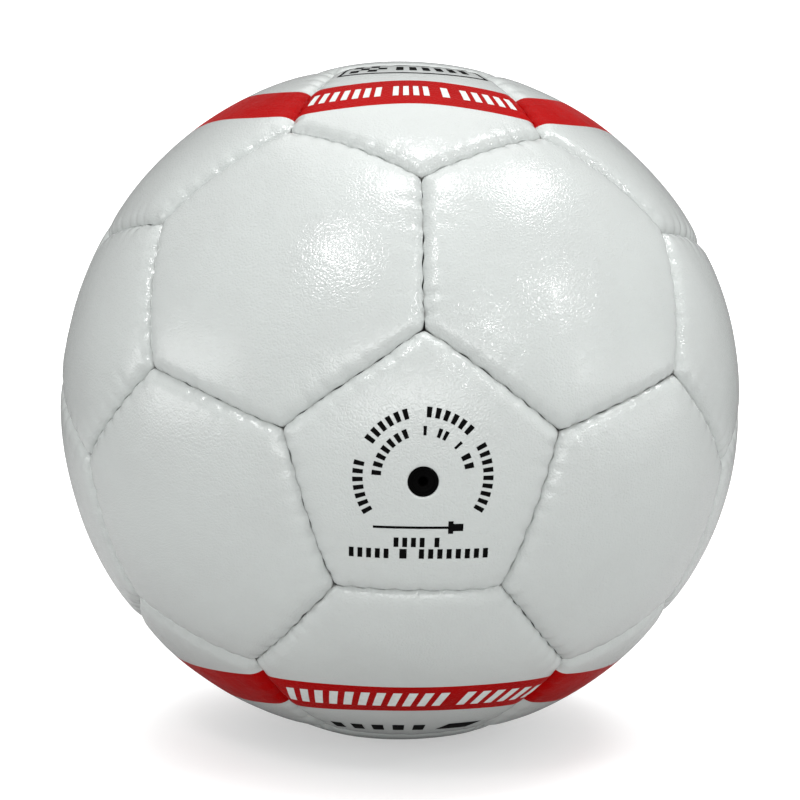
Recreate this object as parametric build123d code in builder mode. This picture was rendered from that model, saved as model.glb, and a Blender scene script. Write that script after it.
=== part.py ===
from build123d import *
import os
from itertools import combinations
from math import asin, atan, cos, degrees, pi, radians, sin, sqrt, tan

# A hand-stitched ball: 12 pentagons and 20 hexagons of coated synthetic leather, each glued to a
# cloth lining, turned in at the edges and sewn together over an inflated rubber bladder.
# Millimetres. The origin is the ball's centre and +Z goes up through the middle of a hexagon.

# Driving dimensions
circumference = 630.0  # a size 4 ball measures 620 to 640 round
cover_thickness = 1.2
lining_thickness = 1.2
glue_gap = 0.05  # between a cover and its lining
seam_gap = 0.30  # between two covers where they are drawn together
seam_depth = 2.15  # from a lining's inner face to the tip of a turned-in edge
corner_rounding = 3.0  # of a panel's corners, seen from outside
edge_rounding = 2.2  # where a panel rolls over into its seam
stitch_depth = 0.95  # from a lining's inner face to the line of stitch holes
stitches_per_seam = 7
corner_to_stitch = 3.3  # from a corner to the first stitch hole, along the stitch line
thread_radius = 0.35
rail_width = 0.80  # the flattened strands that run along the inside of a seam
rail_thickness = 0.60
thread_clearance = 0.10
bladder_wall = 1.0
bladder_clearance = 0.20  # between the bladder and the tips of the turned-in edges
valve_radius = 3.5  # the black disc that shows in its panel
valve_recess = 0.2  # from the ball's surface down to the valve's face
valve_clearance = 0.10  # round the valve in its panel, lining and patch
valve_flange_radius = 12.0
valve_flange_thickness = 1.0
valve_tube_radius = 4.5  # inside the bladder
valve_end_wall = 2.0  # the closed end of that tube
patch_radius = 15.0
patch_thickness = 1.0
patch_clearance = 0.10  # on both sides of the patch
core_radius = 1.90
core_head_radius = 2.60
core_head_height = 2.5
core_length = 20.0
core_clearance = 0.05  # round the core in the valve's bore
core_end_gap = 0.5  # below the core
core_nose = 0.6  # the chamfer that leads the core in
needle_radius = 1.05  # the hole that takes an inflating needle
needle_depth = 16.0
needle_lead_in = 0.4  # the chamfer at the needle hole's mouth

# What follows from them
ball_radius = circumference / (2 * pi)
hole_radius = thread_radius + thread_clearance
lining_radius = ball_radius - cover_thickness - glue_gap
lining_inner_radius = lining_radius - lining_thickness
tip_radius = lining_inner_radius - seam_depth
stitch_radius = lining_inner_radius - stitch_depth
cover_inner_face = seam_gap / 2 + cover_thickness  # measured from the seam's own plane
lining_inset = cover_inner_face + glue_gap
lining_inner_face = lining_inset + lining_thickness
rail_face = lining_inner_face + thread_clearance
valve_stack = glue_gap + valve_flange_thickness + patch_thickness + 2 * patch_clearance
bladder_radius = min(tip_radius - bladder_clearance, lining_inner_radius - valve_stack)
valve_face = ball_radius - valve_recess
valve_opening = valve_radius + valve_clearance
flange_top = bladder_radius + glue_gap + valve_flange_thickness
patch_floor = flange_top + patch_clearance
bore_depth = core_length + core_end_gap
valve_length = bore_depth + valve_end_wall
overcut = 2.0  # how far a cutting tool runs past what it cuts

# A truncated icosahedron: from corner to corner, every seam is this share of the radius
edge_ratio = 4 / sqrt(58 + 18 * sqrt(5))
seam_arc = degrees(2 * asin(edge_ratio / 2))
stitch_arc = seam_arc - 2 * degrees(corner_to_stitch / stitch_radius)
centre = (0, 0, 0)
upwards = (Align.CENTER, Align.CENTER, Align.MIN)
downwards = (Align.CENTER, Align.CENTER, Align.MAX)


def direction(tilt, turn):
    """A unit vector at one angle from +Z and another round it, in radians."""
    return Vector(sin(tilt) * cos(turn), sin(tilt) * sin(turn), cos(tilt))


def corner_tilt(sides):
    """The angle at the ball's centre from a panel's middle to its corners."""
    return asin(edge_ratio / (2 * sin(pi / sides)))


# The pentagons' axes are four rings of three round +Z, and the valve's pentagon faces -Y.
# A hexagon lies wherever three pentagons are neighbours of each other.
near_tilt = atan(3 - sqrt(5))
far_tilt = atan(3 + sqrt(5))
rings = ((pi - far_tilt, -90), (far_tilt, -30), (near_tilt, -90), (pi - near_tilt, -30))
pentagon_axes = [direction(tilt, radians(start + 120 * i)) for tilt, start in rings for i in range(3)]
neighbour_angle = 64.0  # between neighbouring pentagons it is 63.43 degrees


def are_neighbours(axes):
    return all(a.get_angle(b) < neighbour_angle for a, b in combinations(axes, 2))


trios = [axes for axes in combinations(pentagon_axes, 3) if are_neighbours(axes)]
pentagons = []
for axis in pentagon_axes:
    neighbour = next(other for other in pentagon_axes if 1 < axis.get_angle(other) < neighbour_angle)
    pentagons.append(Plane(origin=centre, x_dir=neighbour, z_dir=axis))
hexagons = []
for a, b, c in trios:
    hexagons.append(Plane(origin=centre, x_dir=a - b, z_dir=a + b + c))
hexagons.sort(key=lambda plane: -plane.z_dir.Z)
corners = []
for plane in pentagons:
    for i in range(5):
        corners.append(plane.from_local_coords(direction(corner_tilt(5), 2 * pi * i / 5)))
ends = [(u, v) for u, v in combinations(corners, 2) if u.get_angle(v) < seam_arc + 1]
seams = [Plane(origin=centre, x_dir=u + v, z_dir=u.cross(v)) for u, v in ends]
valve_axis = pentagons[0]


def side_plane(sides, side, inset=0.0):
    """The plane of one seam of a panel that faces +Z, moved into the panel by inset."""
    tilt = atan(tan(corner_tilt(sides)) * cos(pi / sides))
    turn = (2 * side + 1) * pi / sides
    outward = direction(tilt + pi / 2, turn)
    return Plane(origin=outward * -inset, x_dir=direction(tilt, turn), z_dir=outward)


def panel_block(sides, radius, inset, floor_radius):
    """What one panel's seams cut out of a ball, down to a floor."""
    with BuildPart() as block:
        Sphere(radius, rotation=(90, 0, 0))
        for side in range(sides):
            split(bisect_by=side_plane(sides, side, inset), keep=Keep.BOTTOM)
        Sphere(floor_radius, rotation=(90, 0, 0), mode=Mode.SUBTRACT)
    return block.part


def stitch_punches(sides):
    """The pins that punch a row of holes through each turned-in edge of a panel."""
    with BuildPart() as punches:
        for side in range(sides):
            with BuildSketch(side_plane(sides, side)):
                with PolarLocations(stitch_radius, stitches_per_seam, -stitch_arc / 2, stitch_arc,
                                    endpoint=True):
                    Circle(hole_radius)
            extrude(amount=-(lining_inner_face + thread_clearance))
    return punches.part


def build_cover(sides):
    """A panel's domed skin, with its edges rolled over and turned in."""
    with BuildPart() as cover:
        add(panel_block(sides, ball_radius, seam_gap / 2, tip_radius))
        fillet(cover.edges().filter_by(GeomType.LINE), corner_rounding)
        fillet(cover.faces().sort_by(Axis.Z)[-1].edges(), edge_rounding)
        add(panel_block(sides, ball_radius - cover_thickness, cover_inner_face, tip_radius - overcut),
            mode=Mode.SUBTRACT)
        add(stitch_punches(sides), mode=Mode.SUBTRACT)
    return cover.part


def build_lining(sides):
    """The cloth glued inside a cover and turned in with it."""
    with BuildPart() as lining:
        add(panel_block(sides, lining_radius, lining_inset, tip_radius))
        add(panel_block(sides, lining_inner_radius, lining_inner_face, tip_radius - overcut),
            mode=Mode.SUBTRACT)
        add(stitch_punches(sides), mode=Mode.SUBTRACT)
    return lining.part


def write(piece, label):
    piece.part.label = label
    export_step(piece.part, f"parts/{label}.step")
    print(f"{label}: {len(piece.solids())} solids, {piece.part.volume:.1f} mm3")


os.makedirs("parts", exist_ok=True)
pentagon_cover = build_cover(5)
hexagon_cover = build_cover(6)
pentagon_cloth = build_lining(5)
hexagon_cloth = build_lining(6)

# The covers. The first pentagon has the valve's opening.
with BuildPart() as valve_panel:
    with Locations(valve_axis):
        add(pentagon_cover)
        Cylinder(valve_opening, ball_radius + overcut, align=upwards, mode=Mode.SUBTRACT)
write(valve_panel, "valve_panel")

for number, plane in enumerate(pentagons[1:], 1):
    with BuildPart() as pentagon_panel:
        with Locations(plane):
            add(pentagon_cover)
    write(pentagon_panel, f"pentagon_panel_{number:02d}")

for number, plane in enumerate(hexagons, 1):
    with BuildPart() as hexagon_panel:
        with Locations(plane):
            add(hexagon_cover)
    write(hexagon_panel, f"hexagon_panel_{number:02d}")

# The linings, one inside each cover
with BuildPart() as valve_lining:
    with Locations(valve_axis):
        add(pentagon_cloth)
        Cylinder(valve_opening, ball_radius + overcut, align=upwards, mode=Mode.SUBTRACT)
write(valve_lining, "valve_lining")

with BuildPart() as pentagon_linings:
    with Locations(*pentagons[1:]):
        add(pentagon_cloth)
write(pentagon_linings, "pentagon_linings")

with BuildPart() as hexagon_linings:
    with Locations(*hexagons):
        add(hexagon_cloth)
write(hexagon_linings, "hexagon_linings")

# The stitching of one seam is a ladder: a strand along the inside of each turned-in edge,
# joined by a rung through every pair of holes. Its plane is the seam's, with X at the middle.
with BuildLine() as strand:
    CenterArc(centre, stitch_radius, -stitch_arc / 2, stitch_arc)

with BuildPart() as seam_stitch:
    for outer_face in (rail_face, -rail_face - rail_thickness):
        with BuildSketch(Plane.XY.offset(outer_face)):
            SlotArc(strand.edge(), rail_width)
        extrude(amount=rail_thickness)
    with BuildSketch():
        with PolarLocations(stitch_radius, stitches_per_seam, -stitch_arc / 2, stitch_arc,
                            endpoint=True):
            Circle(thread_radius)
    extrude(amount=rail_face + rail_thickness / 2, both=True)

with BuildPart() as stitch_threads:
    with Locations(*seams):
        add(seam_stitch.part)
write(stitch_threads, "stitch_threads")

# The bladder, with the opening that its valve is glued into
with BuildPart() as bladder:
    Sphere(bladder_radius)
    Sphere(bladder_radius - bladder_wall, mode=Mode.SUBTRACT)
    with Locations(valve_axis):
        Cylinder(valve_tube_radius + glue_gap, ball_radius, align=upwards, mode=Mode.SUBTRACT)
write(bladder, "bladder")

# The valve: a flange on the bladder, a boss that fills the panel's opening and a tube inside,
# with one stepped bore that holds the core
with BuildPart() as valve_body:
    with Locations(valve_axis):
        Cylinder(valve_flange_radius, ball_radius, align=upwards)
        Sphere(flange_top, mode=Mode.INTERSECT)
        Sphere(bladder_radius + glue_gap, mode=Mode.SUBTRACT)
    with Locations(valve_axis.offset(valve_face - valve_length)):
        Cylinder(valve_tube_radius, flange_top - valve_face + valve_length - glue_gap, align=upwards)
        Cylinder(valve_radius, valve_length, align=upwards)
    with Locations(valve_axis.offset(valve_face)):
        Cylinder(core_radius + core_clearance, bore_depth, align=downwards, mode=Mode.SUBTRACT)
        Cylinder(core_head_radius + core_clearance, core_head_height, align=downwards,
                 mode=Mode.SUBTRACT)
write(valve_body, "valve_body")

# A cloth patch over the valve's flange keeps it off the lining
with BuildPart() as valve_patch:
    with Locations(valve_axis):
        Cylinder(patch_radius, ball_radius, align=upwards)
        Sphere(patch_floor + patch_thickness, mode=Mode.INTERSECT)
        Sphere(patch_floor, mode=Mode.SUBTRACT)
        Cylinder(valve_opening + valve_clearance, ball_radius, align=upwards, mode=Mode.SUBTRACT)
write(valve_patch, "valve_patch")

# The core: a rubber plug with a flat head, which pulls straight out along the valve's axis
with BuildPart() as valve_core:
    with Locations(valve_axis.offset(valve_face)):
        Cylinder(core_radius, core_length, align=downwards)
    nose = valve_core.edges().sort_by(Axis(centre, valve_axis.z_dir))[0]
    chamfer(nose, core_nose)
    with Locations(valve_axis.offset(valve_face)):
        Cylinder(core_head_radius, core_head_height, align=downwards)
        Cylinder(needle_radius, needle_depth, align=downwards, mode=Mode.SUBTRACT)
    mouth = valve_core.faces().sort_by(Axis(centre, valve_axis.z_dir))[-1].inner_wires()[0].edges()
    chamfer(mouth, needle_lead_in)
write(valve_core, "valve_core")
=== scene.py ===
from itertools import combinations
from math import asin, atan, atan2, ceil, cos, pi, radians, sin, sqrt, tan

import bpy
import numpy as np
from mathutils import Matrix, Vector


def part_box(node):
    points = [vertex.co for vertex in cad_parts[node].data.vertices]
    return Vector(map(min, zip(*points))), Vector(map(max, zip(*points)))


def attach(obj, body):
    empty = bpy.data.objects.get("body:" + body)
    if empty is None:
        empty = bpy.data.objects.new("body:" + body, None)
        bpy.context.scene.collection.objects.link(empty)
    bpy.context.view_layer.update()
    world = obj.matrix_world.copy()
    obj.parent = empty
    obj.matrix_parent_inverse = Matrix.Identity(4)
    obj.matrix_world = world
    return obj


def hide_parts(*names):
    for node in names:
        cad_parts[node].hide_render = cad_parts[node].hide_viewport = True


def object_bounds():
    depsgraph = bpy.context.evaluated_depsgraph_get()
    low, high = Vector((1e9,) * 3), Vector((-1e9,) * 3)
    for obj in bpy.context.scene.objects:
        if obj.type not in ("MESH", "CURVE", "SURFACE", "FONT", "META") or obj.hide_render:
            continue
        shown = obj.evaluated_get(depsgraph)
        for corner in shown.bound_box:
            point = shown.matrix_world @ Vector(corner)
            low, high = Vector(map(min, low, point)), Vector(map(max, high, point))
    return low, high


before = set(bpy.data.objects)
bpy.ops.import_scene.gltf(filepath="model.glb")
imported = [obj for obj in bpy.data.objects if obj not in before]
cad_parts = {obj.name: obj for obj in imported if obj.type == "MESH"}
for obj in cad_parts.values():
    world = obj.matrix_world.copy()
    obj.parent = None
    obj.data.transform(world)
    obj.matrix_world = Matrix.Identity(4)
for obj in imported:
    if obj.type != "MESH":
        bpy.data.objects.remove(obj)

cad_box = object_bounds()
MM = 0.001
RADIUS = float(cad_box[1][2]) / MM  # the ball's, in millimetres like every size below

# ---------------------------------------------------------------- the ball's layout
EDGE_RATIO = 4 / sqrt(58 + 18 * sqrt(5))  # a seam's length as a share of the radius
NEAR_TILT = atan(3 - sqrt(5))
FAR_TILT = atan(3 + sqrt(5))
# Each ring of three pentagons: its angle from the top, and where its first one starts round the ball
PENTAGON_RINGS = ((pi - FAR_TILT, -90), (FAR_TILT, -30), (NEAR_TILT, -90), (pi - NEAR_TILT, -30))
NEIGHBOUR = radians(64)  # two pentagons nearer to each other than this are neighbours
STITCH_PITCH = 5.6
HALF_SEAM = RADIUS * asin(EDGE_RATIO / 2)


def direction(tilt, turn):
    """A unit vector, tilt from Z and turn from X."""
    return np.array([sin(tilt) * cos(turn), sin(tilt) * sin(turn), cos(tilt)])


def unit(v):
    return v / np.linalg.norm(v, axis=-1, keepdims=True)


def angle(a, b):
    return np.arccos(np.clip(a @ b, -1, 1))


def basis(x_hint, z_axis):
    """A 3 by 3 matrix whose columns are a panel's own X, Y and Z."""
    z = unit(z_axis)
    x = unit(x_hint - (x_hint @ z) * z)
    return np.stack([x, np.cross(z, x), z], axis=1)


pentagon_axes = [direction(tilt, radians(start + 120 * i)) for tilt, start in PENTAGON_RINGS
                 for i in range(3)]
pentagons = []
for a in pentagon_axes:
    beside = next(b for b in pentagon_axes if 0.01 < angle(a, b) < NEIGHBOUR)
    pentagons.append(basis(beside, a))
hexagons = []
for a, b, c in combinations(pentagon_axes, 3):
    if max(angle(a, b), angle(b, c), angle(a, c)) < NEIGHBOUR:
        hexagons.append(basis(a - b, a + b + c))
hexagons.sort(key=lambda m: -round(m[2, 2], 6))


def corner_tilt(sides):
    """The angle from a panel's middle to its corners."""
    return asin(EDGE_RATIO / (2 * sin(pi / sides)))


def side_tilt(sides):
    """The angle from a panel's middle to the middles of its seams."""
    return atan(tan(corner_tilt(sides)) * cos(pi / sides))


# ---------------------------------------------------------------- noise
def lattice(i, seed):
    """A repeatable number from -1 to 1 for each whole-numbered point."""
    h = i[..., 0] * 374761393 + i[..., 1] * 668265263 + i[..., 2] * 1442695041
    h = (h + seed * 974711) & 0xFFFFFFFF
    h = ((h ^ (h >> 13)) * 1274126177) & 0xFFFFFFFF
    h = h ^ (h >> 16)
    return (h & 0xFFFF) / 32767.5 - 1.0


def noise(points, size, seed):
    """Smooth noise from -1 to 1 whose lumps are about size across."""
    p = points / size + 1000.0
    i = np.floor(p).astype(np.int64)
    f = p - i
    f = f * f * f * (f * (f * 6 - 15) + 10)
    total = 0.0
    for corner in range(8):
        o = np.array([corner & 1, corner >> 1 & 1, corner >> 2])
        weight = np.prod(np.where(o, f, 1 - f), axis=-1)
        total = total + weight * lattice(i + o, seed)
    return total


# ---------------------------------------------------------------- the panels' surface
ROLL = 4.2  # how far from its seam a panel starts to roll over
ROLL_DEPTH = 2.3
ROLL_START = 0.50  # the steepest part of the roll, which is pressed against the next panel
CROWN_DEPTH = 0.85  # how much lower a panel lies along its seams than at its middle
CROWN_REACH = 4.5
SEAM_SWAY, SEAM_DRIFT, SWAY_REACH = 0.13, 0.30, 3.2  # how far the stitches pull a seam sideways
SEAM_TAPER = 4.0  # the sway dies out this far before a corner
PUCKER, PUCKER_REACH = 0.40, 2.4  # how deep a stitch pulls the skin down
SLOT_WIDTH, SLOT_REACH = 0.17, 0.8  # half of what opens between two stitches
SEAM_GAP = 0.004  # half of the gap between two panels that are pressed together
CREASE = 0.06
FINE_CREASE = (1.5, 3.5)  # how wide such a crease is, and how far it reaches from its seam
LONG_CREASE = (3.1, 6.0)
SEAM_REACH = 14.0  # nothing of a seam's stitching is felt further away than this
SEAM_BLEND = 1.3  # how sharply the roll turns at a panel's corners
SWELLS = ((0.22, 30.0, 5), (0.10, 13.0, 6))  # uneven swelling: height, width and seed
STAND = 0.2  # how far the middle of a panel swells past the ball's nominal radius
SKIN = 0.9  # the cover's thickness
TURN_IN_DEPTHS = (2.3, 3.0, 3.7, 4.4)  # rows down the edge that is turned in at a seam
TURN_BACK_DEPTHS = (4.4, 3.4, 2.4)  # and back up its inner side
SIGN_SPLIT = np.array([0.31, 0.57, 0.76])  # decides which side of a seam its sway counts from


class Panel:
    """One panel: where it lies and what its seams do to it."""

    def __init__(self, sides, matrix, seed):
        self.sides, self.matrix, self.seed = sides, matrix, seed
        tilt = side_tilt(sides)
        self.seams = []
        for k in range(sides):
            turn = (2 * k + 1) * pi / sides
            outward = matrix @ direction(tilt + pi / 2, turn)
            middle = matrix @ direction(tilt, turn)
            sign = 1.0 if outward @ SIGN_SPLIT > 0 else -1.0
            self.seams.append((outward, middle, sign, np.cross(sign * outward, middle)))

    def shape(self, u):
        """For unit vectors u: where each ends up on the unit sphere, and how high its skin is."""
        shift = np.zeros_like(u)
        height = STAND + sum(high * noise(u * RADIUS, wide, seed) for high, wide, seed in SWELLS)
        nearness = 0.0
        for outward, middle, sign, along in self.seams:
            inset = RADIUS * np.arcsin(np.clip(-u @ outward, -1, 1))
            nearness = nearness + np.exp(-SEAM_BLEND * inset)
            close = np.flatnonzero(inset < SEAM_REACH)
            d = np.maximum(inset[close], 0)
            s = RADIUS * np.arcsin(np.clip(u[close] @ along, -1, 1))
            foot = unit(u[close] - (u[close] @ outward)[:, None] * outward) * RADIUS
            wave = 2 * pi * s / STITCH_PITCH
            taper = np.clip((HALF_SEAM - np.abs(s)) / SEAM_TAPER, 0, 1)
            taper = taper * taper * (3 - 2 * taper)
            sway = SEAM_SWAY * np.sin(wave + 2.2 * noise(foot, 10.0, 11))
            sway = sway * (0.7 + 0.6 * noise(foot, 8.0, 12)) + SEAM_DRIFT * noise(foot, 14.0, 13)
            sway = sway * taper * np.exp(-d / SWAY_REACH)
            tight = 0.5 + 0.5 * np.cos(wave + 1.6 * noise(foot, 9.0, 14))
            loose = np.clip(1.3 * (1 - tight) - 0.45 + 0.55 * noise(foot, 5.0, 15), 0.0, 1)
            inward = (SEAM_GAP + SLOT_WIDTH * loose) * np.exp(-d / SLOT_REACH)
            shift[close] += (sway * sign - inward)[:, None] * outward
            pull = PUCKER * tight ** 2 * (1 + 0.5 * noise(foot, 6.0, 16))
            height[close] -= pull * np.exp(-d / PUCKER_REACH)
            for (wide, reach), share, seed in ((FINE_CREASE, 1.0, self.seed),
                                               (LONG_CREASE, 0.6, self.seed + 40)):
                height[close] += share * CREASE * noise(foot, wide, seed) * np.exp(-d / reach)
        inset = -np.log(nearness) / SEAM_BLEND
        x = np.clip((inset + ROLL_START) / ROLL, 0, 1)
        height -= ROLL_DEPTH * (1 - np.sqrt(np.maximum(1 - (1 - x) ** 2, 0)))
        height -= CROWN_DEPTH * np.exp(-np.maximum(inset, 0) / CROWN_REACH)
        return unit(u + shift / RADIUS), height

    def skin(self, u, below=0.0):
        """Points on the skin, or below it, for unit vectors u."""
        moved, height = self.shape(u)
        return moved * (RADIUS + height - below)[:, None]

    def ring(self, inset, per_side, circle=None):
        """Directions round the panel at an inset from its seams, or round a circle at its middle."""
        n = self.sides
        tilt, half = side_tilt(n), pi / n
        a, b = cos(tilt) * cos(half), sin(tilt)
        corner = atan2(b, a) - asin(sin(inset / RADIUS) / sqrt(a * a + b * b))
        out = []
        for k in range(n):
            c0 = direction(corner, 2 * k * half)
            c1 = direction(corner, 2 * (k + 1) * half)
            t = np.arange(per_side)[:, None] / per_side
            p = unit(c0 * (1 - t) + c1 * t)
            normal = direction(tilt + pi / 2, (2 * k + 1) * half)
            p = unit(p + (-sin(inset / RADIUS) - p @ normal)[:, None] * normal)
            out.append(p)
        p = np.concatenate(out)
        if circle is not None:
            turn, lean = np.arctan2(p[:, 1], p[:, 0]), circle / RADIUS
            p = np.stack([sin(lean) * np.cos(turn), sin(lean) * np.sin(turn),
                          np.full(len(turn), cos(lean))], axis=1)
        return p @ self.matrix.T


# The printed rings follow the panels: the middle's latitude is level + lean cos 3a + swell cos 6a,
# and half the width is broad + flare cos 3a, all in degrees, with a measured from -Y.
# The sense says which side of the equator a ring is on.
UPPER = dict(level=51.175, lean=-0.65, swell=1.175, sense=1)
LOWER = dict(level=49.975, lean=-1.05, swell=0.375, sense=-1)
RING_WIDTHS = ((UPPER, 4.15, -0.10), (LOWER, 4.25, -0.65))


def ring_latitude(a, level, lean=0.0, swell=0.0, sense=1):
    """The latitude of a printed ring's middle, in radians."""
    return sense * np.radians(level + lean * np.cos(3 * a) + swell * np.cos(6 * a))


def outside_rings(points):
    """How far each point is outside the nearer printed ring, in radians; negative inside it."""
    u = unit(points)
    a = np.arctan2(u[:, 0], -u[:, 1])
    latitude = np.arcsin(np.clip(u[:, 2], -1, 1))
    outside = []
    for ring, broad, flare in RING_WIDTHS:
        half_width = np.radians(broad + flare * np.cos(3 * a))
        outside.append(np.abs(latitude - ring_latitude(a, **ring)) - half_width)
    return np.min(outside, axis=0)


def split_at_rings(vertices, faces):
    """Cut each face that a ring's edge crosses, and say which of the faces are red."""
    side = outside_rings(vertices)
    vertices, cuts, out, red = list(vertices), {}, [], []

    def cut(i, j):
        key = (min(i, j), max(i, j))
        if key not in cuts:
            t = side[key[0]] / (side[key[0]] - side[key[1]])
            cuts[key] = len(vertices)
            vertices.append((1 - t) * vertices[key[0]] + t * vertices[key[1]])
        return cuts[key]

    for face in faces:
        inside = [side[i] < 0 for i in face]
        if all(inside) or not any(inside):
            out.append(face)
            red.append(inside[0])
            continue
        parts = {True: [], False: []}
        for n, i in enumerate(face):
            j = face[(n + 1) % len(face)]
            parts[inside[n]].append(i)
            if inside[n] != inside[(n + 1) % len(face)]:
                k = cut(i, j)
                parts[True].append(k)
                parts[False].append(k)
        for is_red, part in parts.items():
            out.append(tuple(part))
            red.append(is_red)
    return vertices, out, red


def zip_rings(start_a, count_a, start_b, count_b, sides):
    """Faces between two rings that share their corners but not their number of points."""
    faces = []
    per_a, per_b = count_a // sides, count_b // sides
    for k in range(sides):
        i = j = 0
        while i < per_a or j < per_b:
            a0 = start_a + (k * per_a + i) % count_a
            b0 = start_b + (k * per_b + j) % count_b
            a1 = start_a + (k * per_a + i + 1) % count_a
            b1 = start_b + (k * per_b + j + 1) % count_b
            if per_a == per_b:
                faces.append((a0, a1, b1, b0))
                i, j = i + 1, j + 1
            elif j >= per_b or (i < per_a and (i + 1) * per_b <= (j + 1) * per_a):
                faces.append((a0, a1, b0))
                i += 1
            else:
                faces.append((a0, b1, b0))
                j += 1
    return faces


def new_object(name, vertices, faces):
    """A smooth mesh object from points in millimetres."""
    mesh = bpy.data.meshes.new(name)
    mesh.from_pydata((np.asarray(vertices) * MM).tolist(), [], faces)
    mesh.validate()
    mesh.polygons.foreach_set("use_smooth", [True] * len(mesh.polygons))
    mesh.update()
    obj = bpy.data.objects.new(name, mesh)
    bpy.context.scene.collection.objects.link(obj)
    return obj


# How far from the seams each row of points lies, on the outside and then on the inside
EDGE_ROWS = (0.0, 0.06, 0.16, 0.30, 0.48, 0.70, 0.96, 1.26, 1.60,
             2.0, 2.45, 2.95, 3.5, 4.1, 4.8, 5.6, 6.5, 7.5)
INNER_ROWS = (1.5, 2.5, 4.5, 7.5, 11.5, 16.0)
DEEP_ROWS = (20.0, 25.0, 30.0)  # these only where the panel is wide enough
MIDDLE_STEP = 1.6
INNER_COLUMNS = 24  # points on each side of the innermost row
VALVE_HOLE = 3.55
HOLE_COLUMNS = 12
# The rounded edge of the valve's hole: how far outside its wall, and how far below the skin
HOLE_EDGE = ((0.0, 0.85), (0.0, 0.45), (0.03, 0.22), (0.12, 0.08), (0.30, 0.0), (0.6, -0.03),
             (1.1, -0.02), (1.9, 0.0), (3.0, 0.0), (4.2, 0.0))
HOLE_CLEAR = 7.0  # rings round the hole wider than this have as many points as the panel's own rows
HOLE_REST, PLAIN_REST = 9.0, 1.5  # what is left open at the middle of the panel's rows


def columns(inset, apothem):
    """How many points each side of a ring gets."""
    full = 96
    if inset < 3:
        return full
    if inset < 7:
        return full // 2
    length = 2 * HALF_SEAM * (1 - inset / apothem)
    return max(2, ceil(length / MIDDLE_STEP))


def build_panel(name, panel, hole=False):
    """A closed skin: the outside from the middle to the seams, the turned-in edge and the inside."""
    n = panel.sides
    apothem = RADIUS * side_tilt(n)
    last = apothem - (HOLE_REST if hole else PLAIN_REST)
    rows = list(EDGE_ROWS)
    while rows[-1] + MIDDLE_STEP < last:
        rows.append(rows[-1] + MIDDLE_STEP)
    rings = []
    for inset in reversed(rows):
        u = panel.ring(inset, columns(inset, apothem))
        rings.append(panel.skin(u))
    seam, _ = panel.shape(panel.ring(0.0, columns(0.0, apothem)))
    rings += [seam * (RADIUS - depth) for depth in TURN_IN_DEPTHS]
    inner_seam = panel.ring(SKIN, INNER_COLUMNS)
    rings += [inner_seam * (RADIUS - depth) for depth in TURN_BACK_DEPTHS]
    for inset in INNER_ROWS + tuple(row for row in DEEP_ROWS if row < last - 2):
        u = panel.ring(inset, max(3, int(INNER_COLUMNS * (1 - inset / apothem))))
        rings.append(panel.skin(u, SKIN))
    if hole:
        per_side = rings[0].shape[0] // n
        round_hole = []
        for wider, below in HOLE_EDGE:
            circle = VALVE_HOLE + wider
            u = panel.ring(0.0, HOLE_COLUMNS if circle < HOLE_CLEAR else per_side, circle=circle)
            round_hole.append(panel.skin(u, below))
        rings = round_hole + rings
        rings.append(panel.skin(panel.ring(0.0, HOLE_COLUMNS, circle=VALVE_HOLE + 1.5), SKIN))
    vertices, starts = np.concatenate(rings), np.cumsum([0] + [len(r) for r in rings])
    faces = []
    for i in range(len(rings) - 1):
        faces += zip_rings(starts[i], len(rings[i]), starts[i + 1], len(rings[i + 1]), n)
    if hole:
        faces += zip_rings(starts[len(rings) - 1], len(rings[-1]), 0, len(rings[0]), n)
    else:
        top = panel.skin(panel.matrix[:, 2][None, :])
        bottom = panel.skin(panel.matrix[:, 2][None, :], SKIN)
        vertices = np.concatenate([vertices, top, bottom])
        t, b = len(vertices) - 2, len(vertices) - 1
        first, final = len(rings[0]), len(rings[-1])
        faces += [(t, (i + 1) % first, i) for i in range(first)]
        at = starts[len(rings) - 1]
        faces += [(b, at + i, at + (i + 1) % final) for i in range(final)]
    faces = [tuple(int(v) for v in reversed(f)) for f in faces]
    vertices, faces, red = split_at_rings(vertices, faces)
    piece = new_object(name, vertices, faces)
    piece.data.materials.append(white_cover)
    piece.data.materials.append(red_cover)
    piece.data.polygons.foreach_set("material_index", [int(r) for r in red])
    return piece


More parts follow.
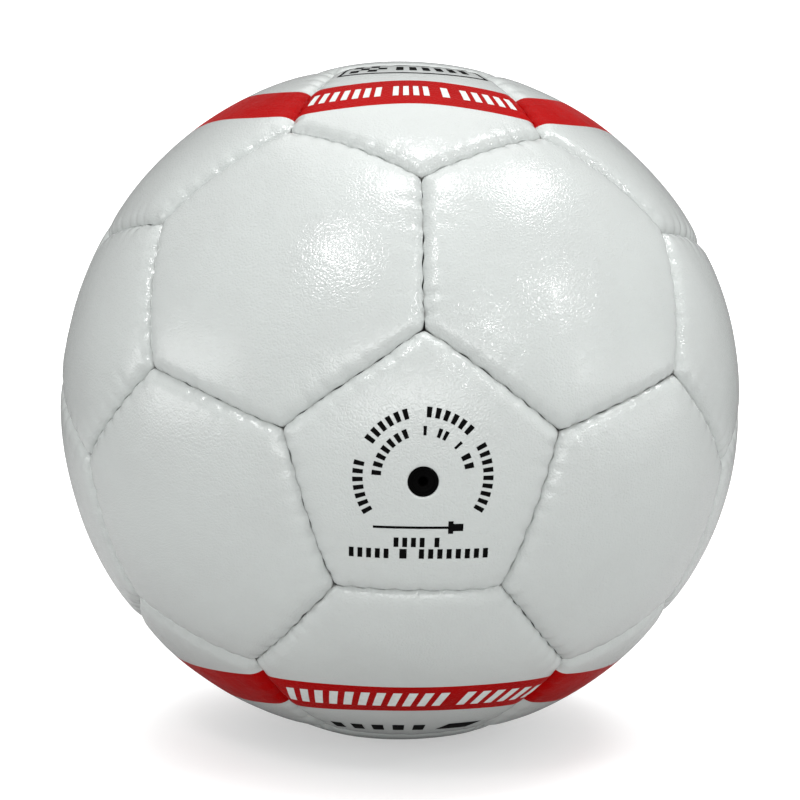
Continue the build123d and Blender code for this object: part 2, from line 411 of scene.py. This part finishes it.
# ---------------------------------------------------------------- materials
class Nodes:
    """A short way to write a material's nodes."""

    def __init__(self, name):
        self.material = bpy.data.materials.new(name)
        self.material.use_nodes = True
        self.tree = self.material.node_tree
        self.tree.nodes.clear()
        self.out = self.tree.nodes.new("ShaderNodeOutputMaterial")
        self.shader = self.tree.nodes.new("ShaderNodeBsdfPrincipled")
        self.tree.links.new(self.shader.outputs[0], self.out.inputs[0])

    def plug(self, socket, value):
        if isinstance(value, bpy.types.NodeSocket):
            self.tree.links.new(value, socket)
        elif value is not None:
            socket.default_value = value

    def math(self, operation, a, b=None, c=None):
        node = self.tree.nodes.new("ShaderNodeMath")
        node.operation = operation
        for socket, value in zip(node.inputs, (a, b, c)):
            self.plug(socket, value)
        return node.outputs[0]

    def node(self, kind, **inputs):
        node = self.tree.nodes.new(kind)
        for key, value in inputs.items():
            if key in node.inputs:
                self.plug(node.inputs[key], value)
            else:
                setattr(node, key, value)
        return node

    def place(self):
        return self.node("ShaderNodeTexCoord").outputs["Object"]

    def noise(self, place, scale, detail=3.0):
        return self.node("ShaderNodeTexNoise", Vector=place, Scale=scale, Detail=detail,
                         Roughness=0.55).outputs[0]

    def mix(self, factor, a, b):
        node = self.tree.nodes.new("ShaderNodeMix")
        node.data_type = "RGBA"
        self.plug(node.inputs[0], factor)
        self.plug(node.inputs[6], a)
        self.plug(node.inputs[7], b)
        return node.outputs[2]

    def range(self, value, low, high, to_low=0.0, to_high=1.0):
        node = self.tree.nodes.new("ShaderNodeMapRange")
        node.interpolation_type = "SMOOTHSTEP"
        for socket, v in zip(node.inputs, (value, low, high, to_low, to_high)):
            self.plug(socket, v)
        return node.outputs[0]

    def bump(self, height, strength, distance, normal=None):
        node = self.node("ShaderNodeBump", Height=height, Strength=strength, Distance=distance)
        if normal is not None:
            self.plug(node.inputs["Normal"], normal)
        return node.outputs[0]


# How many lumps to the metre each of the leather's patterns has
MOTTLES, GLOSS_PATCHES, FOLDS, WOBBLES, PEBBLES, PORES = 45.0, 210.0, 330.0, 420.0, 1150.0, 2600.0
WOBBLE_REACH = 0.0011
FOLD_HEIGHT, PEBBLE_HEIGHT, COAT_HEIGHT = 0.0007, 0.00030, 0.00022
# How far below the ball's radius the seams' painted shade and grime begin and end, and how strong they
# get
GRIME_AND_SHADE_START, GRIME_AND_SHADE_END, GRIME_AND_SHADE_SHARE = 1.7, 3.0, 0.55  # below the ball's radius
COAT_ROUGHNESS = 0.13
FIBRE_HEIGHT = 0.0002
CLOTH_PITCH, THREAD_LAY = 0.0011, 0.0012


def coated_material(name, plain, worn, groove_grime_and_shade, coat, shine):
    """Glossy coated synthetic leather with a pebbled grain, darker down in the seams with painted shade
    and a little grime.
    """
    m = Nodes(name)
    place = m.place()
    length = m.node("ShaderNodeVectorMath", operation="LENGTH")
    m.plug(length.inputs[0], place)
    # Painted shade with some grime: the colour darkens towards the groove colour where the skin lies
    # deep in the seams
    depth = m.range(length.outputs["Value"], (RADIUS - GRIME_AND_SHADE_START) * MM, (RADIUS - GRIME_AND_SHADE_END) * MM)
    mottle = m.noise(place, MOTTLES)
    colour = m.mix(m.range(mottle, 0.35, 0.65), plain, worn)
    m.plug(m.shader.inputs["Base Color"], m.mix(m.math("MULTIPLY", depth, GRIME_AND_SHADE_SHARE), colour, groove_grime_and_shade))
    grain = m.node("ShaderNodeTexVoronoi", feature="DISTANCE_TO_EDGE", Scale=PEBBLES, Randomness=1.0)
    warp = m.node("ShaderNodeVectorMath", operation="MULTIPLY_ADD")
    wobble = m.node("ShaderNodeTexNoise", Vector=place, Scale=WOBBLES, Detail=2.0)
    m.plug(warp.inputs[0], wobble.outputs["Color"])
    warp.inputs[1].default_value = (WOBBLE_REACH, WOBBLE_REACH, WOBBLE_REACH)
    m.plug(warp.inputs[2], place)
    m.plug(grain.inputs["Vector"], warp.outputs[0])
    pebble = m.range(grain.outputs["Distance"], 0.0, 0.32)
    height = m.math("MULTIPLY_ADD", m.noise(place, PORES, 2.0), 0.15, pebble)
    fold = m.noise(place, FOLDS, 2.0)
    under = m.bump(height, 0.22, PEBBLE_HEIGHT, m.bump(fold, 0.22, FOLD_HEIGHT))
    m.plug(m.shader.inputs["Normal"], under)
    over = m.bump(pebble, 0.14, COAT_HEIGHT, m.bump(fold, 0.05, FOLD_HEIGHT))
    m.plug(m.shader.inputs["Coat Normal"], over)
    gloss = m.range(m.noise(place, GLOSS_PATCHES), 0.3, 0.7, 0.30, 0.40)
    m.plug(m.shader.inputs["Roughness"], gloss)
    m.shader.inputs["Coat Weight"].default_value = coat
    m.shader.inputs["Coat Roughness"].default_value = COAT_ROUGHNESS
    m.shader.inputs["Specular IOR Level"].default_value = shine
    return m.material


def rubber_material(name, colour, scale, strength, shine):
    """Moulded rubber: fine pits, a slight bloom and uneven gloss."""
    m = Nodes(name)
    place = m.place()
    bloom = m.range(m.noise(place, 90.0, 4.0), 0.35, 0.7)
    light = tuple(1.6 * c for c in colour[:3]) + (1,)
    m.plug(m.shader.inputs["Base Color"], m.mix(bloom, colour, light))
    m.plug(m.shader.inputs["Roughness"], m.range(m.noise(place, 300.0), 0.3, 0.7, 0.42, 0.62))
    m.shader.inputs["Specular IOR Level"].default_value = shine
    m.plug(m.shader.inputs["Normal"], m.bump(m.noise(place, scale), strength, FIBRE_HEIGHT))
    return m.material


def cloth_material():
    """Plain woven cotton backing."""
    m = Nodes("lining_cloth")
    place = m.place()
    xyz = m.node("ShaderNodeSeparateXYZ", Vector=place)
    threads = 2 * pi / CLOTH_PITCH
    across = m.math("ADD", xyz.outputs[0], xyz.outputs[1])
    along = m.math("SUBTRACT", xyz.outputs[2], xyz.outputs[1])
    warp = m.math("SINE", m.math("MULTIPLY", across, threads))
    weft = m.math("SINE", m.math("MULTIPLY", along, threads))
    weave = m.math("MULTIPLY", warp, weft)
    slub = m.noise(place, 800.0)
    tone = m.range(m.math("MULTIPLY_ADD", weave, 0.3, slub), 0.2, 0.8)
    m.plug(m.shader.inputs["Base Color"], m.mix(tone, (0.62, 0.58, 0.50, 1), (0.80, 0.77, 0.70, 1)))
    m.shader.inputs["Roughness"].default_value = 0.9
    m.plug(m.shader.inputs["Normal"], m.bump(weave, 0.5, FIBRE_HEIGHT))
    return m.material


def thread_material():
    """Waxed two-ply polyester thread."""
    m = Nodes("waxed_thread")
    place = m.place()
    xyz = m.node("ShaderNodeSeparateXYZ", Vector=place)
    lay = m.math("ADD", m.math("ADD", xyz.outputs[0], xyz.outputs[1]), xyz.outputs[2])
    twist = m.math("SINE", m.math("MULTIPLY", lay, 2 * pi / THREAD_LAY))
    fuzz = m.noise(place, 2500.0)
    tone = m.range(m.math("MULTIPLY_ADD", twist, 0.25, fuzz), 0.2, 0.8)
    m.plug(m.shader.inputs["Base Color"], m.mix(tone, (0.10, 0.10, 0.095, 1), (0.22, 0.22, 0.21, 1)))
    m.shader.inputs["Roughness"].default_value = 0.45
    ply = m.math("MULTIPLY_ADD", twist, 0.5, fuzz)
    m.plug(m.shader.inputs["Normal"], m.bump(ply, 0.6, FIBRE_HEIGHT))
    return m.material


# The third colour of each is the painted shade and grime deep in the seams
white_cover = coated_material("cover_leather", (0.55, 0.58, 0.567, 1), (0.535, 0.562, 0.55, 1),
                              (0.30, 0.29, 0.27, 1), coat=1.0, shine=0.20)
red_cover = coated_material("ring_red", (0.39, 0.0002, 0.0004, 1), (0.35, 0.0002, 0.0003, 1),
                            (0.14, 0.0004, 0.0008, 1), coat=0.06, shine=0.02)
rubber = rubber_material("valve_rubber", (0.0006, 0.0006, 0.0006, 1), 900.0, 0.3, 0.03)
bladder_rubber = rubber_material("bladder_rubber", (0.030, 0.030, 0.032, 1), 300.0, 0.4, 0.5)
cloth = cloth_material()
thread = thread_material()

# ---------------------------------------------------------------- the panels
def nearest(node, choices):
    """Which of these panels is where the CAD has this node."""
    low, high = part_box(node)
    middle = np.array((low + high) / 2)
    return max(choices, key=lambda m: middle @ m[:, 2])


panels = [("valve_panel", 5)]
panels += [(f"pentagon_panel_{i:02d}", 5) for i in range(1, 12)]
panels += [(f"hexagon_panel_{i:02d}", 6) for i in range(1, 21)]
skins = {}
for number, (node, sides) in enumerate(panels):
    matrix = nearest(node, pentagons if sides == 5 else hexagons)
    skins[node] = Panel(sides, matrix, 100 + number)
    piece = build_panel(f"{node}_skin", skins[node], hole=node == "valve_panel")
    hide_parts(node)
    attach(piece, "ball")

# ---------------------------------------------------------------- the valve
# Radii are from the valve's axis, and every other value is a height from the ball's centre.
VALVE_AXIS = skins["valve_panel"].matrix[:, 2]
VALVE_FACE = RADIUS - 0.2
VALVE_RADIUS = 3.5
FLANGE_RADIUS, FLANGE_TOP, FLANGE_FLOOR = 12.0, RADIUS - 3.75, RADIUS - 4.75
TUBE_RADIUS, TUBE_END, BORE_END = 4.5, VALVE_FACE - 22.5, VALVE_FACE - 20.5
BORE_RADIUS, SEAT_RADIUS, SEAT_DEPTH = 1.95, 2.65, 2.5
CORE_RADIUS, CORE_END = 1.9, VALVE_FACE - 20.0
HEAD_RADIUS = 2.6
NEEDLE_RADIUS, NEEDLE_MOUTH, NEEDLE_END = 1.05, 1.45, VALVE_FACE - 16.0
DISH, DISH_RADIUS, DISH_RIM = 0.08, 1.95, 2.2  # the hollow in the core's head
TIP_BEVEL = 0.6
UNDER_ROWS, OVER_ROWS = 9, 10  # rows of points on the two faces of the flange


def rounded(corners, rounding, steps=4):
    """An outline of (radius, height) corners, each given its own small round."""
    out = []
    for i, here in enumerate(corners):
        if rounding[i] == 0:
            out.append(here)
            continue
        here, before, after = np.array(here), np.array(corners[i - 1]), np.array(corners[i + 1])
        start = here + unit(before - here) * rounding[i]
        end = here + unit(after - here) * rounding[i]
        for t in np.linspace(0, 1, steps + 1):
            out.append((1 - t) ** 2 * start + 2 * t * (1 - t) * here + t * t * end)
    return out


def revolve(name, outline, segments=72):
    """Turn an outline of (radius, height) points round the valve's axis."""
    across = unit(np.cross(VALVE_AXIS, [0.0, 0.0, 1.0]))
    along = np.cross(VALVE_AXIS, across)
    vertices, rows = [], []
    for r, h in outline:
        count = 1 if r < 1e-6 else segments
        turns = 2 * pi * np.arange(count) / count
        rows.append(range(len(vertices), len(vertices) + count))
        for turn in turns:
            vertices.append(VALVE_AXIS * h + (across * cos(turn) + along * sin(turn)) * r)
    faces = []
    for low, high in zip(rows, rows[1:]):
        for i in range(segments):
            j = (i + 1) % segments
            a, b = low[i % len(low)], low[j % len(low)]
            c, d = high[j % len(high)], high[i % len(high)]
            faces.append(tuple(dict.fromkeys((a, b, c, d))))
    return new_object(name, vertices, faces)


def on_sphere(radius, start, end, rows):
    """Points of an outline that follows a sphere from one radius to another."""
    return [(r, sqrt(radius ** 2 - r * r)) for r in np.linspace(start, end, rows)]


def build_valve_body():
    """The bored boss and tube, with the flange that lies on the bladder."""
    under = on_sphere(FLANGE_FLOOR, TUBE_RADIUS, FLANGE_RADIUS, UNDER_ROWS)
    over = on_sphere(FLANGE_TOP, FLANGE_RADIUS, VALVE_RADIUS, OVER_ROWS)
    corners = [(0, BORE_END), (BORE_RADIUS, BORE_END), (BORE_RADIUS, VALVE_FACE - SEAT_DEPTH),
               (SEAT_RADIUS, VALVE_FACE - SEAT_DEPTH), (SEAT_RADIUS, VALVE_FACE),
               (VALVE_RADIUS, VALVE_FACE)]
    rounding = [0, 0.1, 0.1, 0.1, 0.10, 0.22]
    corners += over[::-1] + under[::-1] + [(TUBE_RADIUS, TUBE_END), (0, TUBE_END)]
    rounding += [0.3] + [0] * (OVER_ROWS - 2) + [0.25, 0.25] + [0] * (UNDER_ROWS - 1) + [0.8, 0]
    return revolve("valve_boss", rounded(corners, rounding))


def build_valve_core():
    """The plug with the needle's hole, which is closed at its inner end."""
    corners = [(0, NEEDLE_END), (NEEDLE_RADIUS, NEEDLE_END), (NEEDLE_RADIUS, VALVE_FACE - 0.4),
               (NEEDLE_MOUTH, VALVE_FACE - DISH), (DISH_RADIUS, VALVE_FACE - DISH),
               (DISH_RIM, VALVE_FACE), (HEAD_RADIUS, VALVE_FACE),
               (HEAD_RADIUS, VALVE_FACE - SEAT_DEPTH), (CORE_RADIUS, VALVE_FACE - SEAT_DEPTH),
               (CORE_RADIUS, CORE_END + TIP_BEVEL), (CORE_RADIUS - TIP_BEVEL, CORE_END),
               (0, CORE_END)]
    rounding = [0, 0.2, 0.15, 0.12, 0.1, 0.1, 0.12, 0.1, 0.1, 0.2, 0.2, 0]
    return revolve("valve_plug", rounded(corners, rounding))


for piece, node, body in ((build_valve_body(), "valve_body", "ball"),
                          (build_valve_core(), "valve_core", "valve_core")):
    piece.data.materials.append(rubber)
    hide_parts(node)
    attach(piece, body)

# ---------------------------------------------------------------- the printed marks
INK = 0.03  # how far the ink stands on the skin
INK_CELL = 0.9
CLEAR_OF_SEAM = 1.8
BAR_SHARE = 0.56  # a bar's width as a share of its cell


class Print:
    """Ink laid on one panel's skin, from a flat plan in millimetres."""

    def __init__(self, place):
        self.place = place
        self.panel = max(skins.values(), key=lambda p: place(0.0, 0.0) @ p.matrix[:, 2])
        self.directions, self.faces = [], []

    def patch(self, corners, bend=None):
        """Four-sided ink; bend carries a point of a straight row to its place in the plan."""
        a, b, c, d = (np.array(p, float) for p in corners)
        nx = ceil(max(np.linalg.norm(b - a), np.linalg.norm(c - d)) / INK_CELL)
        ny = ceil(max(np.linalg.norm(d - a), np.linalg.norm(c - b)) / INK_CELL)
        points = []
        for t in np.linspace(0, 1, ny + 1):
            for s in np.linspace(0, 1, nx + 1):
                p = (1 - t) * ((1 - s) * a + s * b) + t * ((1 - s) * d + s * c)
                points.append(self.place(*(bend(*p) if bend else p)))
        u = np.array(points)
        inset = min(RADIUS * np.arcsin(np.clip(-u @ outward, -1, 1)).min()
                    for outward, *_ in self.panel.seams)
        if inset < CLEAR_OF_SEAM:
            return
        start = len(self.directions)
        self.directions += points
        for j in range(ny):
            for i in range(nx):
                k = start + j * (nx + 1) + i
                self.faces.append((k, k + 1, k + nx + 2, k + nx + 1))

    def bar(self, x0, x1, y0, y1, slant=0.0, bend=None):
        """One plain bar, leaning to the right by slant times its height."""
        self.patch([(x0 + slant * y0, y0), (x1 + slant * y0, y0),
                    (x1 + slant * y1, y1), (x0 + slant * y1, y1)], bend)

    def row(self, groups, y, height, pitch, slant=0.0, bend=None):
        """Rows of plain bars, each group given by where it starts and ends."""
        for start, end in groups:
            count = max(1, round((end - start) / pitch))
            cell = (end - start) / count
            for i in range(count):
                x = start + i * cell
                self.bar(x, x + BAR_SHARE * cell, y, y + height, slant, bend)

    def build(self, name, material):
        piece = new_object(name, self.panel.skin(np.array(self.directions), -INK), self.faces)
        piece.data.materials.append(material)
        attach(piece, "ball")


def round_valve(x, y):
    """The plan round the valve: x to the right and y up, as arcs from its axis."""
    right = np.array([1.0, 0.0, 0.0])
    up = np.cross(right, -VALVE_AXIS)
    up = up if up[2] > 0 else -up
    r = max(sqrt(x * x + y * y), 1e-9)
    return VALVE_AXIS * cos(r / RADIUS) + (right * x + up * y) / r * sin(r / RADIUS)


def on_latitude(turn, level, lean=0.0, swell=0.0, sense=1):
    """The plan along a printed ring: x along it and y up, from where it crosses a panel's middle."""
    reach = RADIUS * cos(radians(level))

    def place(x, y):
        a = turn + x / reach
        latitude = ring_latitude(a, level, lean, swell, sense) + y / RADIUS
        return np.array([cos(latitude) * sin(a), -cos(latitude) * cos(a), sin(latitude)])

    return place


def on_arc(radius, lift):
    """Carries a straight row on to an arc over the valve, with x measured along it from the left."""
    def bend(x, y):
        turn = pi - x / radius
        return (radius + y) * cos(turn), (radius + y) * sin(turn) + lift

    return bend


def ink_material(name, colour, rough, shine):
    """Screen-printed ink: nearly flat, a little uneven where it covers the grain."""
    m = Nodes(name)
    place = m.place()
    cover = m.range(m.noise(place, 700.0), 0.25, 0.75)
    worn = tuple(min(1.0, 1.15 * c + 0.001) for c in colour[:3]) + (1,)
    m.plug(m.shader.inputs["Base Color"], m.mix(cover, worn, colour))
    m.plug(m.shader.inputs["Roughness"], m.range(cover, 0, 1, rough + 0.1, rough))
    m.plug(m.shader.inputs["Normal"], m.bump(m.noise(place, 1600.0), 0.25, FIBRE_HEIGHT))
    m.shader.inputs["Specular IOR Level"].default_value = shine
    return m.material


black_ink = ink_material("black_ink", (0.0012, 0.0012, 0.0012, 1), 0.6, 0.04)
white_ink = ink_material("white_ink", (0.62, 0.65, 0.63, 1), 0.35, 0.2)


def degrees_along(radius, *angles):
    """Where a row's groups start and end, from angles over the top measured from the left."""
    return [(radians(a) * radius, radians(b) * radius) for a, b in angles]


# The marks round the valve: two arcs, two straight rows and the outline of a needle
valve_print = Print(round_valve)
OUTER_ARC, INNER_ARC, ARC_LIFT = 14.9, 10.7, 1.1
outer_groups = degrees_along(OUTER_ARC, (-34, 17), (33, 79), (92, 139), (150, 215))
inner_groups = degrees_along(INNER_ARC, (2, 74), (89, 96), (107, 123), (135, 141), (151, 174))
valve_print.row(outer_groups, -1.2, 2.4, 1.95, bend=on_arc(OUTER_ARC, ARC_LIFT))
valve_print.row(inner_groups, -1.1, 2.15, 1.9, bend=on_arc(INNER_ARC, ARC_LIFT))
valve_print.row([(-6.4, 1.6), (3.0, 5.0)], -15.7, 2.4, 1.95)
valve_print.row([(-16.7, -6.6), (-5.0, -2.0), (-0.5, 16.6)], -18.7, 2.5, 2.1)
valve_print.bar(-11.2, 6.1, -11.1, -10.5)
valve_print.bar(6.0, 7.2, -12.35, -9.25)
valve_print.bar(7.2, 9.5, -11.7, -9.9)
valve_print.build("valve_marks", black_ink)

# The marks in and beside the printed rings, which come three times round the ball
FRAME_LEVEL, FRAME_HALF_WIDTH, FRAME_HALF_HEIGHT, FRAME_LINE = 62.6, 19.0, 5.4, 0.45
CHEQUER_LEFT, CHEQUER_FOOT, CHEQUER_CELL = -16.5, -3.6, 2.4
FOOT_LEVEL = 60.5
for number, turn in enumerate((0.0, 2 * pi / 3, 4 * pi / 3), 1):
    upper_marks = Print(on_latitude(turn, **UPPER))
    upper_marks.row([(-29.9, -7.9), (-6.1, 4.3), (6.4, 9.7), (11.6, 29.9)], -2.7, 5.6, 2.9)
    upper_marks.build(f"upper_marks_{number}", white_ink)

    lower_marks = Print(on_latitude(turn, **LOWER))
    lower_marks.row([(-36.2, 10.2), (12.9, 36.2)], -3.4, 6.8, 3.9, slant=0.25)
    lower_marks.build(f"lower_marks_{number}", white_ink)

    frame_mark = Print(on_latitude(turn, level=FRAME_LEVEL))
    for side in (-1, 1):
        y = side * FRAME_HALF_HEIGHT
        frame_mark.bar(-FRAME_HALF_WIDTH, FRAME_HALF_WIDTH, y - FRAME_LINE, y + FRAME_LINE)
        ends = sorted((side * FRAME_HALF_WIDTH, side * (FRAME_HALF_WIDTH - 2 * FRAME_LINE)))
        frame_mark.bar(*ends, FRAME_LINE - FRAME_HALF_HEIGHT, FRAME_HALF_HEIGHT - FRAME_LINE)
    for column in range(4):
        for line in range(3):
            if (column + line) % 2 == 0:
                x, y = CHEQUER_LEFT + CHEQUER_CELL * column, CHEQUER_FOOT + CHEQUER_CELL * line
                frame_mark.bar(x, x + CHEQUER_CELL, y, y + CHEQUER_CELL)
    frame_mark.row([(-4.5, 16.5)], -2.4, 4.8, 3.4)
    frame_mark.build(f"frame_mark_{number}", black_ink)

    foot_mark = Print(on_latitude(turn, level=FOOT_LEVEL, sense=-1))
    foot_mark.row([(-20.0, 7.0)], -2.6, 5.2, 5.2)
    foot_mark.bar(9.5, 18.5, -2.6, 2.6, slant=0.5)
    foot_mark.build(f"foot_mark_{number}", black_ink)

# Pieces that stay as the CAD has them, with their own materials
for node, material in (("valve_lining", cloth), ("pentagon_linings", cloth), ("hexagon_linings", cloth),
                       ("valve_patch", cloth), ("stitch_threads", thread), ("bladder", bladder_rubber)):
    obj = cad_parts[node]
    obj.data.materials.clear()
    obj.data.materials.append(material)

# ---------------------------------------------------------------- stage, light and camera, in metres
WHITE = (1, 1, 1, 1)
SKY_STRENGTH = 0.49
scene = bpy.context.scene
world = bpy.data.worlds.new("studio")
scene.world = world
world.use_nodes = True
world.node_tree.nodes["Background"].inputs[0].default_value = WHITE
world.node_tree.nodes["Background"].inputs[1].default_value = SKY_STRENGTH
scene.view_settings.view_transform = "Standard"

floor_height = float(cad_box[0][2])
BACKDROP_WIDTH = 8.0
FLOOR_FRONT, FLOOR_BACK, SWEEP, WALL_TOP = -4.0, 2.0, 1.2, 5.0


def sweep_backdrop():
    """A floor that curves up into a wall behind, as a paper sweep does."""
    points = [(FLOOR_FRONT, 0.0), (FLOOR_BACK, 0.0)]
    for a in range(6, 90, 6):
        points.append((FLOOR_BACK + SWEEP * sin(radians(a)), SWEEP - SWEEP * cos(radians(a))))
    points += [(FLOOR_BACK + SWEEP, SWEEP), (FLOOR_BACK + SWEEP, WALL_TOP)]
    vertices = [(x, y, z + floor_height) for y, z in points
                for x in (-BACKDROP_WIDTH / 2, BACKDROP_WIDTH / 2)]
    faces = [(2 * i, 2 * i + 1, 2 * i + 3, 2 * i + 2) for i in range(len(points) - 1)]
    return new_object("paper_sweep", np.array(vertices) / MM, faces)


# The paper glows to the camera alone, least under the ball, so it is white round a soft shadow: a
# painted glow, with a painted shadow under the ball on top of the cast one.
SHADOW_GLOW = (0.103, 0.145, 0.45, 0.90)  # from and to a distance, with the glow at each
FAR_GLOW = (0.25, 0.90, 0.0, 0.40)
paper = Nodes("studio_paper")
paper.shader.inputs["Base Color"].default_value = (0.58, 0.58, 0.58, 1)
paper.shader.inputs["Roughness"].default_value = 0.8
paper.shader.inputs["Emission Color"].default_value = WHITE
spread = paper.node("ShaderNodeVectorMath", operation="LENGTH")
paper.plug(spread.inputs[0], paper.place())
away = spread.outputs["Value"]
glow = paper.math("ADD", paper.range(away, *SHADOW_GLOW), paper.range(away, *FAR_GLOW))
to_camera = paper.node("ShaderNodeLightPath").outputs["Is Camera Ray"]
paper.plug(paper.shader.inputs["Emission Strength"], paper.math("MULTIPLY", glow, to_camera))
backdrop = sweep_backdrop()
backdrop.data.materials.append(paper.material)


def softbox(name, toward, distance, width, height, power):
    """An area light in a direction from the ball's centre, facing it."""
    data = bpy.data.lights.new(name, "AREA")
    data.shape, data.size, data.size_y = "RECTANGLE", width, height
    data.energy = power
    light = bpy.data.objects.new(name, data)
    scene.collection.objects.link(light)
    d = Vector(toward).normalized()
    light.location = d * distance
    light.rotation_euler = d.to_track_quat("Z", "Y").to_euler()


# Name, direction, distance, width, height, power in watts
softbox("key_left", (-0.30, -0.67, 0.69), 1.3, 0.22, 0.18, 2.6)
softbox("top_right", (0.46, -0.18, 0.84), 1.2, 0.28, 0.20, 2.5)
softbox("side_spot", (0.68, -0.55, 0.50), 1.3, 0.12, 0.11, 1.2)
softbox("strip_right", (0.80, -0.60, 0.14), 1.2, 0.04, 0.34, 0.5)
softbox("front_spot", (0.38, -0.87, 0.34), 1.4, 0.09, 0.10, 0.9)
softbox("upper_front", (0.05, -0.35, 0.93), 1.4, 0.4, 0.3, 4.8)
softbox("overhead", (0.0, 0.1, 1.0), 1.6, 1.4, 1.4, 6.0)
softbox("front_fill", (0.0, -1.0, -0.05), 2.2, 1.6, 0.9, 20.0)
softbox("left_fill", (-0.95, -0.30, 0.05), 2.0, 1.2, 0.9, 9.0)
softbox("right_fill", (0.97, -0.20, -0.05), 2.0, 1.2, 0.8, 4.0)

CAMERA_DISTANCE = 3.714 * RADIUS * MM
LENS, SENSOR = 54.6, 36.0
TURN, NOD, LEAN = radians(3.17), radians(-0.20), radians(0.60)
tilt_all = Matrix.Rotation(LEAN, 4, "Y") @ Matrix.Rotation(NOD, 4, "X")
tilt_all = tilt_all @ Matrix.Rotation(TURN, 4, "Z")
camera_data = bpy.data.cameras.new("camera")
camera_data.lens, camera_data.sensor_width = LENS, SENSOR
camera = bpy.data.objects.new("camera", camera_data)
scene.collection.objects.link(camera)
camera.matrix_world = (tilt_all.inverted() @ Matrix.Translation((0, -CAMERA_DISTANCE, 0))
                       @ Matrix.Rotation(pi / 2, 4, "X"))
scene.camera = camera
